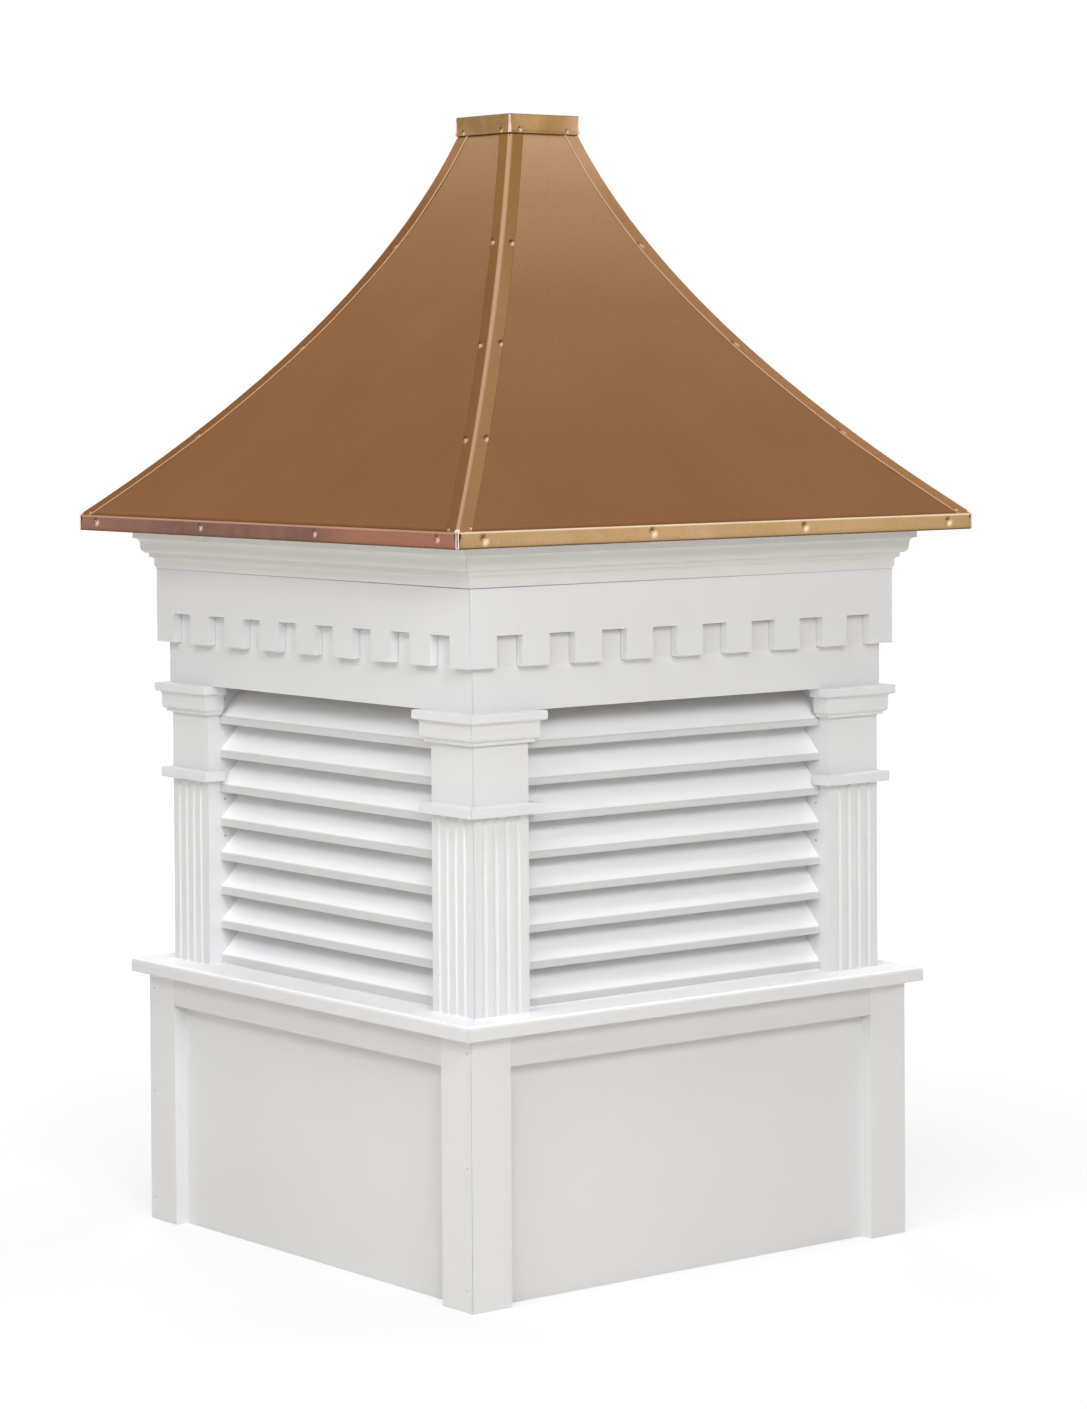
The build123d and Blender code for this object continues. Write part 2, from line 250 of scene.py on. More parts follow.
def spaced(low, high, step, fine_step, fine_places, fine_reach):
    """Values from low to high, closer together near some places."""
    values, x = [low], low
    while x < high:
        near = any(abs(x + fine_step - p) < fine_reach for p in fine_places)
        x = min(x + (fine_step if near else step), high)
        values.append(x)
    if values[-1] - values[-2] < fine_step * 0.2:
        values.pop(-2)
    return values


# ---- materials ----
class Nodes:
    """The node tree of a material or a world, with short calls for the nodes used here."""

    def __init__(self, owner, place="Object"):
        self.owner = owner
        self.tree = owner.node_tree
        self.shader = self.tree.nodes.get("Principled BSDF")
        self.place = self.new("ShaderNodeTexCoord").outputs[place]

    def new(self, kind, **settings):
        node = self.tree.nodes.new(kind)
        for key, value in settings.items():
            setattr(node, key, value)
        return node

    def link(self, output, target):
        self.tree.links.new(output, target)

    def fed(self, kind, *values, **settings):
        """A new node's first output, with its first inputs linked or set."""
        node = self.new(kind, **settings)
        for socket, value in zip(node.inputs, values):
            if isinstance(value, bpy.types.NodeSocket):
                self.link(value, socket)
            else:
                socket.default_value = value
        return node.outputs[0]

    def stretched(self, scale):
        """The object's coordinates, multiplied along each axis."""
        return self.fed("ShaderNodeMapping", self.place, (0, 0, 0), (0, 0, 0), scale)

    def noise(self, scale, detail=4.0, roughness=0.55, place=None, distortion=0.0):
        node = self.new("ShaderNodeTexNoise")
        self.link(place or self.place, node.inputs["Vector"])
        node.inputs["Scale"].default_value = scale
        node.inputs["Detail"].default_value = detail
        node.inputs["Roughness"].default_value = roughness
        node.inputs["Distortion"].default_value = distortion
        return node.outputs["Fac"]

    def ramp(self, value, stops):
        """Colours (or greys) at positions along a value."""
        node = self.new("ShaderNodeValToRGB")
        self.link(value, node.inputs["Fac"])
        elements = node.color_ramp.elements
        while len(elements) < len(stops):
            elements.new(0.5)
        for element, (position, colour) in zip(elements, stops):
            element.position = position
            if isinstance(colour, (int, float)):
                colour = (colour, colour, colour)
            element.color = (*colour, 1)
        return node.outputs["Color"]

    def mix(self, factor, a, b, blend="MIX"):
        node = self.new("ShaderNodeMix", data_type="RGBA", blend_type=blend)
        for name, value in (("Factor", factor), ("A", a), ("B", b)):
            socket = node.inputs[name]
            if isinstance(value, bpy.types.NodeSocket):
                self.link(value, socket)
            elif isinstance(value, (int, float)):
                socket.default_value = value
            else:
                socket.default_value = (*value, 1)
        return node.outputs["Result"]

    def marked(self, colour, marks):
        """A colour with marks over it: pairs of a mask, as a function of this helper, and its colour."""
        for mask, mark in marks:
            colour = self.mix(mask(self), colour, mark)
        return colour

    def axis(self, name):
        """One of the object's coordinates."""
        node = self.new("ShaderNodeSeparateXYZ")
        self.link(self.place, node.inputs[0])
        return node.outputs[name]

    def away(self, name):
        """The distance from the middle along an axis."""
        return self.math("ABSOLUTE", self.axis(name))

    def beyond(self, name, other):
        """How much further out a point lies along one axis than along another."""
        return self.math("SUBTRACT", self.away(name), self.away(other))

    def wander(self, scale, reach):
        """A slow random amount around 0."""
        return self.math("MULTIPLY", self.math("SUBTRACT", self.noise(scale, detail=3), 0.5), reach)

    def math(self, operation, *values):
        return self.fed("ShaderNodeMath", *values, operation=operation)

    def remapped(self, value, low, high):
        """0 at low to 1 at high."""
        return self.fed("ShaderNodeMapRange", value, low, high)

    def graded(self, value, stops, origin=0.0):
        """Amounts along a value in metres: pairs of (mm past the origin, amount)."""
        low, high = stops[0][0], stops[-1][0]
        share = self.remapped(value, origin + low * MM, origin + high * MM)
        return self.ramp(share, [((at - low) / (high - low), amount) for at, amount in stops])

    def bump(self, height, strength, distance, below=None):
        node = self.new("ShaderNodeBump")
        node.inputs["Strength"].default_value = strength
        node.inputs["Distance"].default_value = distance
        self.link(height, node.inputs["Height"])
        if below:
            self.link(below, node.inputs["Normal"])
        return node.outputs["Normal"]

    def set(self, **values):
        """Constants on the shader's own sockets."""
        for name, value in values.items():
            self.shader.inputs[name.replace("_", " ")].default_value = value

    def done(self, colour, rough, normal):
        self.link(colour, self.shader.inputs["Base Color"])
        self.link(rough, self.shader.inputs["Roughness"])
        self.link(normal, self.shader.inputs["Normal"])
        return self.owner


def material_nodes(name):
    """The nodes of a new material."""
    material = bpy.data.materials.new(name)
    material.use_nodes = True
    return Nodes(material)


def dress(material, *starts):
    """Gives a finish to the CAD nodes whose names start so."""
    for name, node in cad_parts.items():
        if name.startswith(starts):
            node.data.materials.clear()
            node.data.materials.append(material)


CLEAN_WHITE = (0.858, 0.866, 0.882)
DULL_WHITE = (0.820, 0.824, 0.830)
UPRIGHT = (420, 420, 5)  # scales of fine lines that run up a board
LEVEL = (4, 4, 460)  # and level, along it


def white_trim(name, grain, light_tone, marks=(), tint=(1.0, 1.0, 1.0)):
    """Satin cellular PVC: nearly even white, faint extrusion lines and a few dull patches. Its tone
    raises or lowers the white as painted light or shade.
    """
    n = material_nodes("white_trim_" + name)
    clean = tuple(c * t * light_tone for c, t in zip(CLEAN_WHITE, tint))
    dull = tuple(c * t * light_tone for c, t in zip(DULL_WHITE, tint))
    patches = n.ramp(n.noise(2.6, detail=6, roughness=0.6), [(0.38, 0.0), (0.75, 0.55)])
    scuffs = n.ramp(n.noise(17, detail=8, roughness=0.7, distortion=0.6), [(0.60, 0.0), (0.72, 0.5)])
    colour = n.mix(patches, clean, dull)
    colour = n.marked(n.mix(scuffs, colour, dull), marks)
    shine = n.ramp(n.noise(9, detail=5), [(0.3, 0.42), (0.7, 0.56)])
    lines = n.noise(1.0, detail=3, place=n.stretched(grain))
    fine = n.noise(900, detail=2)
    normal = n.bump(lines, 0.07, 0.0003)
    normal = n.bump(fine, 0.10, 0.0001, normal)
    n.set(Metallic=0.0, IOR=1.46)
    return n.done(colour, shine, normal)


# copper's colours: tarnish tones, and painted reflection, highlight and shade where marked
BROWN = (0.308, 0.141, 0.058)
TAN = (0.328, 0.154, 0.066)
BLUSH = (0.322, 0.156, 0.073)
# painted reflection: paler tones toward the roof's top and the far hips' tops
PALE_REFLECTION = (0.540, 0.322, 0.180)
PALE_BROWN_REFLECTION = (0.460, 0.272, 0.142)
GOLD = (0.40, 0.255, 0.115)
PALE_GOLD = (0.44, 0.28, 0.14)
ROSE_GOLD = (0.47, 0.30, 0.185)
BROWN_GOLD = (0.36, 0.225, 0.095)
MAUVE = (0.225, 0.114, 0.098)
MAUVE_BROWN = (0.245, 0.128, 0.094)
ROSE = (0.33, 0.175, 0.125)
CORNER_ROSE = (0.385, 0.172, 0.114)
STRIP = (0.378, 0.190, 0.081)
STRIP_TAN = (0.410, 0.210, 0.094)
STRIP_BROWN = (0.268, 0.117, 0.041)
STRIP_OLIVE = (0.315, 0.158, 0.050)
# painted reflection on the far hips' side flanks near the top
STRIP_TOP_REFLECTION = (0.42, 0.207, 0.105)
# painted highlights: along the near hip's arris, on the far hips' cut edges, and on the drip edge's
# rolled lip in gold and in rose
RIDGE_HIGHLIGHT = (0.63, 0.37, 0.225)
CUT_EDGE_HIGHLIGHT = (0.66, 0.44, 0.29)
LIP_HIGHLIGHT = (0.78, 0.60, 0.43)
ROSE_LIP_HIGHLIGHT = (0.52, 0.30, 0.205)
# painted shade along the copper's lower edges and at the roof's foot
EDGE_SHADE = (0.12, 0.058, 0.025)
# painted shade and highlight on the dents' walls
DENT_PAINTED_SHADE = (0.105, 0.048, 0.021)
DENT_PAINTED_HIGHLIGHT = (0.84, 0.61, 0.45)
EDGE_TINT = (0.72, 0.62, 0.56, 1.0)  # of reflections at a low angle


def copper(name, brown, light, blush, rough_low, rough_high, mottle,
           line_scale=(260, 260, 30), marks=(), bump=0.35):
    """Lightly browned copper sheet: drifting tarnish colours, fine rolling lines, satin sheen."""
    n = material_nodes("copper_" + name)
    drift = n.ramp(n.noise(mottle, detail=5, roughness=0.5, distortion=0.4), [(0.35, 0.0), (0.68, 1.0)])
    flush = n.ramp(n.noise(mottle * 2.3, detail=6, roughness=0.6), [(0.48, 0.0), (0.75, 0.75)])
    specks = n.ramp(n.noise(210, detail=3, roughness=0.7), [(0.30, 0.92), (0.55, 1.0)])
    colour = n.mix(drift, brown, light)
    colour = n.marked(n.mix(flush, colour, blush), marks)
    colour = n.mix(1.0, colour, specks, "MULTIPLY")
    rough = n.ramp(n.noise(mottle * 3.1, detail=6, roughness=0.62),
                   [(0.3, rough_low), (0.72, rough_high)])
    lines = n.noise(1.0, detail=4, place=n.stretched(line_scale))
    waves = n.noise(14, detail=2)
    normal = n.bump(waves, bump, 0.0012)
    normal = n.bump(lines, bump * 0.6, 0.00012, normal)
    n.set(Metallic=1.0, Specular_Tint=EDGE_TINT)
    return n.done(colour, rough, normal)


def dent_side(sign):
    """Mask of a dent's painted shade (-1) or painted highlight (1), from the value kept on the sheet's
    points.
    """
    def mask(n):
        value = n.new("ShaderNodeAttribute", attribute_name="dent").outputs["Fac"]
        return n.remapped(n.math("MULTIPLY", value, sign), 0.12, 0.85)
    return mask


# painted shade and highlight on the dents' walls, from the value kept on each point
PAINTED_DENT_SHADE = ((dent_side(-1.0), DENT_PAINTED_SHADE), (dent_side(1.0), DENT_PAINTED_HIGHLIGHT))


def by_height(stops, origin=0.0):
    """Mask from the height: pairs of (mm above the origin, amount)."""
    return lambda n: n.graded(n.axis("Z"), stops, origin)


def by_hip(stops, waver):
    """Mask from the level distance to the nearest hip: pairs of (mm, amount), wavering by some mm."""
    return lambda n: n.graded(n.math("ADD", n.math("ABSOLUTE", n.beyond("X", "Y")),
                                     n.wander(30, waver * MM)), stops)


def toward(axis, start, end, amount=1.0):
    """Mask that rises from start to end, in mm, along an axis."""
    return lambda n: n.graded(n.axis(axis), [(start, 0.0), (end, amount)])


def both(first, second):
    """Mask where two masks meet."""
    return lambda n: n.math("MULTIPLY", first(n), second(n))


def front_or_back(n):
    """1 on the front and back, 0 on the left and right sides."""
    return n.remapped(n.beyond("Y", "X"), 0.0, 0.001)


def side_flank(n):
    """1 on the hip strips' flanks toward the left and right sides, which are browner."""
    return n.remapped(n.beyond("X", "Y"), -0.002, 0.001)


def off_corner(n):
    """Mask that grows away from the front left corner."""
    return n.remapped(n.math("ADD", n.axis("X"), n.axis("Y")), -0.62, -0.05)


def outward_mask(low, high):
    """Mask from 0 to 1 between two distances out from the axis, square in plan."""
    return lambda n: n.remapped(n.math("MAXIMUM", n.away("X"), n.away("Y")), low, high)


def solder_metal(name, dull, bright):
    """Lumpy shining solder between two colours."""
    n = material_nodes(name)
    colour = n.ramp(n.noise(120, detail=5), [(0.30, dull), (0.55, bright)])
    rough = n.ramp(n.noise(260, detail=4), [(0.3, 0.28), (0.7, 0.42)])
    normal = n.bump(n.noise(420, detail=4), 0.5, 0.0004)
    n.set(Metallic=1.0)
    return n.done(colour, rough, normal)


def plywood():
    """Raw plywood seen only from below, through the louvre chamber."""
    n = material_nodes("raw_plywood")
    bands = n.noise(1.0, detail=6, roughness=0.65, place=n.stretched((4, 60, 60)), distortion=1.2)
    colour = n.ramp(bands, [(0.30, (0.40, 0.27, 0.15)), (0.50, (0.56, 0.41, 0.25)),
                            (0.72, (0.66, 0.52, 0.34))])
    rough = n.ramp(bands, [(0.3, 0.62), (0.7, 0.8)])
    normal = n.bump(bands, 0.4, 0.0005)
    n.set(Metallic=0.0)
    return n.done(colour, rough, normal)


def putty(name, low, high, scale=300, marks=()):
    """Dull filler or painted shade between two colours."""
    n = material_nodes(name)
    colour = n.marked(n.ramp(n.noise(scale, detail=4), [(0.35, low), (0.65, high)]), marks)
    rough = n.ramp(n.noise(500, detail=3), [(0.3, 0.6), (0.7, 0.8)])
    normal = n.bump(n.noise(900, detail=3), 0.4, 0.0002)
    return n.done(colour, rough, normal)


BLADE_EDGE_SHADE = (0.615, 0.611, 0.604)  # painted shade: a blade's front edge darker than its lit slope
# painted shade: the sill's front edge darker than its lit top
SILL_EDGE_SHADE = (0.710, 0.711, 0.712)
GAP_SHADE = (0.675, 0.674, 0.670)  # painted shade on the wall behind the dentils, front and back
DEEP_FILL_LIGHT = (0.920, 0.927, 0.940)  # painted light deep between the blades, lifting their shade
WARM_BOUNCE_LIGHT = (0.965, 0.947, 0.918)  # painted warm bounce light on the crown, in shade under the eave


def front_edge(face):
    """Mask of the front edge of boards whose face is this far out."""
    return outward_mask(face - 2.4 * MM, face - 0.7 * MM)


# painted shade in the dentil gaps on the front and back
painted_gap_shade = both(by_height([(-0.4, 0.0), (0.4, 1.0)], dentil_low.z), front_or_back)
# painted light, brighter deeper between the blades
painted_blade_fill_light = outward_mask(BLADE_FACE - 4 * MM, BLADE_FACE - 24 * MM)
# each copy of the one white has a tone set for how light falls on those boards: painted light lifts the
# sill, blades, battens and crown; painted shade lowers the rails and panels
dress(white_trim("upright", UPRIGHT, 0.84), "base_corner_board", "louvre_jambs")
dress(white_trim("posts", UPRIGHT, 0.85), "fluted_post")
dress(white_trim("level", LEVEL, 0.85), "post_neck_bands", "post_capitals", "soffit_boards")
dress(white_trim("dentils", LEVEL, 0.83), "dentil_board")
dress(white_trim("frieze", LEVEL, 0.83, ((painted_gap_shade, GAP_SHADE),)), "frieze_boards")
dress(white_trim("crown", LEVEL, 0.885, tint=WARM_BOUNCE_LIGHT), "crown_moulding")
dress(white_trim("rails", LEVEL, 0.775), "base_top_rails")
dress(white_trim("panels", (7, 7, 7), 0.82), "base_panels")
dress(white_trim("blades", (3, 3, 300), 1.09, ((painted_blade_fill_light, DEEP_FILL_LIGHT), (front_edge(BLADE_FACE), BLADE_EDGE_SHADE))),
      "louvre_blades")
dress(white_trim("sill", LEVEL, 1.09, ((front_edge(SILL_FACE), SILL_EDGE_SHADE),)), "sill_board")
dress(plywood(), "roof_sheathing", "peak_block")
batten_trim = white_trim("battens", LEVEL, 1.08)

# painted highlight along the drip edge's rolled lip
painted_lip_highlight = by_height([(-3.2, 0.0), (-1.9, 1.0), (0, 1.0)], DRIP_TOP)
# painted shade along the drip edge's lower edge
painted_foot_shade = by_height([(0, 1.0), (1.2, 0.85), (3.0, 0.15), (7.0, 0.0)], DRIP_BOTTOM)
# painted shade at the roof sheets' foot, under the drip edge's lip
painted_eave_shade = by_height([(0, 0.8), (1.5, 0.45), (4, 0.0)], DRIP_TOP)
# painted reflection: the roof sheets paler toward the top
painted_peak_reflection = by_height([(1120, 0.0), (1310, 0.14), (1450, 0.55), (1530, 1.0)])
olive_top = by_height([(1340, 0.0), (1420, 0.7), (1550, 1.0)])
# painted reflection: the far hips paler near the top
painted_top_reflection = by_height([(1430, 0.0), (1480, 0.6), (1505, 1.0), (1570, 0.8)])
# painted highlight along the near hip's arris, the second mask wider higher up
painted_ridge_highlight = by_hip([(0, 1.0), (2.2, 0.85), (4.6, 0.0)], waver=0.6)
painted_upper_ridge_highlight = both(by_hip([(0, 1.0), (2.2, 0.9), (6.2, 0.0)], waver=0.6),
                   by_height([(1120, 0.0), (1320, 1.0), (1570, 1.0)]))
# painted highlight along the far hips' cut edges
painted_cut_edge_highlight = by_hip([(0, 0.0), (21.9, 0.0), (22.6, 1.0), (24.5, 1.0)], waver=0.4)

front_copper = copper("roof", BROWN, TAN, BLUSH, 0.34, 0.42, mottle=2.6, bump=0.22,
                      marks=((painted_peak_reflection, PALE_REFLECTION), (painted_eave_shade, EDGE_SHADE)))
side_copper = copper("roof_sides", BROWN, BROWN, BLUSH, 0.34, 0.42, mottle=2.6, bump=0.22,
                     marks=((painted_peak_reflection, PALE_BROWN_REFLECTION), (painted_eave_shade, EDGE_SHADE)))
near_hip_copper = copper("near_hip", STRIP, STRIP_TAN, (0.375, 0.195, 0.100), 0.24, 0.34, mottle=11,
                         marks=((side_flank, STRIP_BROWN), (olive_top, STRIP_OLIVE),
                                (painted_ridge_highlight, RIDGE_HIGHLIGHT), (painted_upper_ridge_highlight, RIDGE_HIGHLIGHT)) + PAINTED_DENT_SHADE)
hip_copper = copper("hips", STRIP_TAN, STRIP, (0.39, 0.205, 0.110), 0.24, 0.34, mottle=11,
                    marks=((painted_top_reflection, PALE_REFLECTION), (side_flank, STRIP_BROWN),
                           (both(side_flank, painted_top_reflection), STRIP_TOP_REFLECTION), (painted_cut_edge_highlight, CUT_EDGE_HIGHLIGHT)) + PAINTED_DENT_SHADE)


def rosy_end(n):
    """Mask of the pinker metal at the right end of the cap's front."""
    return n.graded(n.math("ADD", n.axis("X"), n.wander(40, 20 * MM)), [(30, 0.0), (56, 0.85)])


# painted shade along the cap's lower edge
painted_cap_foot_shade = by_height([(0, 0.25), (0.5, 0.1), (1.0, 0.0)], cap_low.z)
cap_copper = copper("cap", (0.30, 0.160, 0.062), GOLD, ROSE_GOLD, 0.24, 0.34, mottle=13,
                    marks=PAINTED_DENT_SHADE + ((rosy_end, ROSE_GOLD), (painted_cap_foot_shade, EDGE_SHADE)))
BAND_LINES = (20, 20, 300)  # scales of the drip edge's level rolling lines
gold_copper = copper("gold_band", GOLD, PALE_GOLD, ROSE_GOLD, 0.22, 0.32, mottle=9,
                     line_scale=BAND_LINES, bump=0.2,
                     marks=((toward("X", 280, 440, 0.7), BROWN_GOLD),
                            (painted_foot_shade, EDGE_SHADE), (painted_lip_highlight, LIP_HIGHLIGHT)) + PAINTED_DENT_SHADE)
mauve_copper = copper("mauve_band", MAUVE, MAUVE_BROWN, ROSE, 0.22, 0.32, mottle=9,
                      line_scale=BAND_LINES, bump=0.2,
                      marks=((toward("Y", 180, 440, 0.8), ROSE),
                             (toward("Y", -130, -220), CORNER_ROSE),
                             (painted_foot_shade, EDGE_SHADE), (painted_lip_highlight, ROSE_LIP_HIGHLIGHT)) + PAINTED_DENT_SHADE)
# near-black sheet standing for the shade in the drip edge's open corners
shade_fold_copper = copper("painted_shade_fold", (0.05, 0.025, 0.014), (0.08, 0.04, 0.02), (0.1, 0.05, 0.03),
                     0.4, 0.55, mottle=30)
# bright nail heads, their colour holding a painted highlight
nail_highlight_copper = copper("nails", (0.62, 0.36, 0.20), (0.85, 0.58, 0.40), (0.90, 0.66, 0.50),
                     0.18, 0.3, mottle=60)
solder = solder_metal("solder", (0.74, 0.54, 0.42), (0.97, 0.85, 0.74))
fold_solder = solder_metal("solder_on_folds", (0.62, 0.44, 0.32), (0.86, 0.70, 0.57))
nail_putty = putty("nail_putty", (0.32, 0.305, 0.28), (0.44, 0.42, 0.39),
                   marks=((front_or_back, (0.67, 0.65, 0.62)),))
nail_hole = putty("nail_hole", (0.22, 0.21, 0.20), (0.32, 0.31, 0.30))
# joints, and painted shade at the dentil gaps' tops and under the feet
joint_and_shade_grey = putty("joint_and_shade_grey", (0.38, 0.365, 0.34), (0.48, 0.465, 0.44), scale=40)
# painted shade in the opened joint under the crown, darkest at the near corner
joint_shade_dark = putty("joint_shade_dark", (0.13, 0.115, 0.10), (0.26, 0.235, 0.205), scale=22,
                   marks=((off_corner, (0.56, 0.54, 0.50)),))


# ---- copper roof panels ----
PANEL_EDGE = 6 * MM  # each sheet stops short of the hip, under the hip cap
PANEL_ROWS, PANEL_COLUMNS = 90, 60
SWELL = 0.45 * MM  # of the thin sheet between its edges


def roof_panel(name, turn):
    """One face's sheet: the roof's curve with the slight swell of thin metal."""
    bm = bmesh.new()
    rows = []
    for i in range(PANEL_ROWS + 1):
        t = i / PANEL_ROWS
        centre, normal = roof_point(t), roof_normal(t)
        half = centre.x - PANEL_EDGE
        row = []
        for j in range(PANEL_COLUMNS + 1):
            u = 2 * j / PANEL_COLUMNS - 1
            flat = turned(turn, u * half, centre.x, centre.y)
            free = (1 - u ** 4) * (1 - (2 * t - 1) ** 6)
            sink = free * SWELL * (1 + ripple(flat, 6.0, turn))
            row.append(turned(turn, u * half, centre.x - normal.x * sink, centre.y - normal.y * sink))
        rows.append(row)
    grid_faces(bm, rows)
    sheet = front_copper if name in ("front", "back") else side_copper
    finish_piece(f"copper_face_{name}", bm, sheet, sharp=60,
                 replaces=(f"copper_panel_{name}",), thickness=COPPER)


# ---- hip caps ----
ACROSS = Vector((1, -1, 0)).normalized()  # to the right when a corner is faced
HIP_WIDTH = 24 * MM  # each leg, level
HIP_RISE = 0.95 * MM / math.sqrt(2)  # outer face of the cap out from the panel, and up
HIP_SHEET = 0.8 * MM
HIP_FOOT = 0.8 * MM  # the strip's lower end, along the hip
HIP_STEP, HIP_FINE_STEP = 7 * MM, 1.3 * MM  # between cross-sections, and near the nails
HIP_OFFSETS = (24, 23.6, 22.9, 21.8, 20.6, 19.5, 18.4, 17.2, 15.5, 13, 10, 7.5, 5.8, 4.6, 3.6, 2.7, 1.9,
               1.2, 0.6)  # points of a cross-section on either side of the arris, in mm
RIDGE_ROUND = 4.0 * MM
RIDGE_ROLL = 1.6 * MM
RIDGE_WIDTH = 4.6 * MM
EDGE_DROP = 0.75 * MM  # of the turned-down edges
RUCKS = 0.22 * MM
HIP_NAILS = 4
FIRST_NAIL = 9 * MM  # along the hip
NAIL_SPACING = 193.6 * MM
NAIL_OFFSET = 19.5 * MM  # from the hip, level
DIMPLE = 4.0 * MM
FOOT_NAIL, HIP_NAIL = 2.2 * MM, 1.5 * MM  # radii of the heads
FOOT_SHADE, NEAR_SHADE, FAR_SHADE = 0.25, 1.0, 0.6  # strength of the dimples' painted shade
nail_places = []  # (point of the dented sheet, outward direction, head's radius)


def hip_point(t, w):
    """A point of the hip cap's outer face, before dents, and its normal.

    It is drawn for the corner at (-x, -y): w > 0 runs along x, w < 0 along y.
    """
    centre, normal = roof_point(t), roof_normal(t)
    out, up = centre.x + HIP_RISE, centre.y + HIP_RISE
    first = (w + math.sqrt(w * w + RIDGE_ROUND ** 2)) / 2
    second = first - w
    point = Vector((-out + first, -out + second, up))
    share = smooth(w, -RIDGE_ROUND, RIDGE_ROUND)
    face = Vector((-(1 - share) * normal.x, -share * normal.x, normal.y)).normalized()
    return point, face


def hip_cap(name, turn):
    """A folded strip over one hip: rolled arris, turned-down edges, nails in dimples."""
    rng = random.Random(f"hip {name}")
    corner = to_corner(turn, 3)
    near = name == "front_left"
    lengths = [FIRST_NAIL + NAIL_SPACING * k for k in range(HIP_NAILS)]
    dimples = []
    for length in lengths:
        at_foot = length == FIRST_NAIL
        for sign in (-1, 1):
            along = length + rng.uniform(-2.5, 2.5) * MM
            across = sign * (NAIL_OFFSET + rng.uniform(-1.5, 1) * MM)
            point, face = hip_point(hip_parameter(along), across)
            depth = rng.uniform(0.35, 0.6) * MM
            dimples.append((point, depth, FOOT_SHADE if at_foot else NEAR_SHADE if near else FAR_SHADE))
            nail_places.append((corner @ (point - face * depth), corner @ face,
                                FOOT_NAIL if at_foot else HIP_NAIL))
    stations = spaced(HIP_FOOT, HIP_LENGTH, HIP_STEP, HIP_FINE_STEP, lengths, 10 * MM)
    offsets = [-o * MM for o in HIP_OFFSETS] + [0.0] + [o * MM for o in reversed(HIP_OFFSETS)]
    bm = bmesh.new()
    rows, shades = [], []
    for length in stations:
        t = hip_parameter(length)
        from_nail = min(abs(length - p) for p in lengths)
        row, shade = [], []
        for w in offsets:
            point, face = hip_point(t, w)
            edge = abs(w) / HIP_WIDTH
            lift = (0.35 + 0.25 * ripple((length * 9, w * 3, turn))) * MM
            raised = RIDGE_ROLL * bell(w, RIDGE_WIDTH)
            raised += lift * edge ** 2 * smooth(from_nail, 0.01, 0.09)
            raised += RUCKS * ripple((length * 45, w * 20, turn + 7))
            raised -= EDGE_DROP * smooth(abs(w), 22.6 * MM, HIP_WIDTH)
            raised -= sum(depth * bell((point - centre).length, DIMPLE) for centre, depth, _ in dimples)
            row.append(corner @ (point + face * raised))
            shade.append(sum(
                dark * dent_shade((point - centre).dot(ACROSS), centre.z - point.z, DIMPLE * 0.8)
                for centre, _, dark in dimples))
        rows.append(row)
        shades.append(shade)
    grid_faces(bm, rows, values=shades)
    metal = near_hip_copper if near else hip_copper
    finish_piece(f"copper_hip_{name}", bm, metal, sharp=50,
                 replaces=(f"hip_cap_{name}",), thickness=HIP_SHEET)


# ---- drip edge ----
DRIP_END = 2.3 * MM  # each strip stops short of the corner, where solder fills the fold
DRIP_NAILS = 4
DRIP_NAIL_INSET = 45 * MM
DRIP_NAIL_DROP = 9.2 * MM
DRIP_NAIL_DEPTH = 1.15 * MM
BAND_NAIL = 1.4 * MM  # radius of the heads on the drip edge and the cap
DRIP_SHEET = 0.55 * MM
DRIP_STEP, DRIP_FINE_STEP = 9 * MM, 1.2 * MM  # between cross-sections, and near the nails
DRIP_ENDS = (0.0, 0.25 * MM, 0.7 * MM, 1.4 * MM)  # cross-sections where the sheet's ends turn in
DRIP_WAVES = 0.12 * MM
LIP_SAG = 0.35 * MM
DRIP_DENT = {  # limits of each dent's measures, in mm
    "x": (-3, 4),  # along, from the nail's even place
    "down": (-1.5, 1.5),
    "depth": (0.40, 0.62),
    "scoop": (2, 9),  # the scoop's middle, along and down from the nail
    "fall": (1.0, 4.0),
    "wide": (6.0, 9.0),  # the scoop's width
}
DENT_LIMIT = 0.42 * MM
# the strip's outer face from its rolled lip down and in under the soffit:
# inward from the eave's outer face and down from the top, in mm
DRIP_PROFILE = [(2.2, 1.5), (2.3, 0.9), (2.0, 0.35), (1.45, 0.05), (0.9, 0.0), (0.4, 0.25), (0.12, 0.7),
                (0.06, 1.2), (0.18, 1.75), (0.40, 2.3)]
DRIP_PROFILE += [(0.45 - 0.02 * k, 2.3 + 1.15 * k) for k in range(1, 15)]
DRIP_PROFILE += [(0.12, 19.3), (0.1, 20.2), (0.25, 21.0), (0.7, 21.7), (1.4, 22.15), (2.3, 22.3)]
DRIP_PROFILE += [(4, 22.3), (8, 22.25), (12, 22.15)]


def drip_dent_depth(dent, x, down):
    """How far a dent sinks the strip's face: a pit round the nail and a scoop beside it."""
    along, across = x - dent["x"], down - dent["down"]
    pit = bell(math.hypot(across, along), 3.2 * MM)
    scoop = bell(along - dent["scoop"], dent["wide"]) * bell(across - dent["fall"], 4.2 * MM)
    return min(dent["depth"] * (pit + 0.75 * scoop), DENT_LIMIT)


def drip_dent_shade(dents, x, down):
    """Painted shade and highlight of all the dents at a point, the shade a little weaker than the
    highlight.
    """
    shade = sum(dent_shade(x - dent["x"] - dent["scoop"] * 0.3, down - dent["down"], dent["wide"] * 0.64)
                for dent in dents)
    return shade if shade > 0 else 0.85 * shade


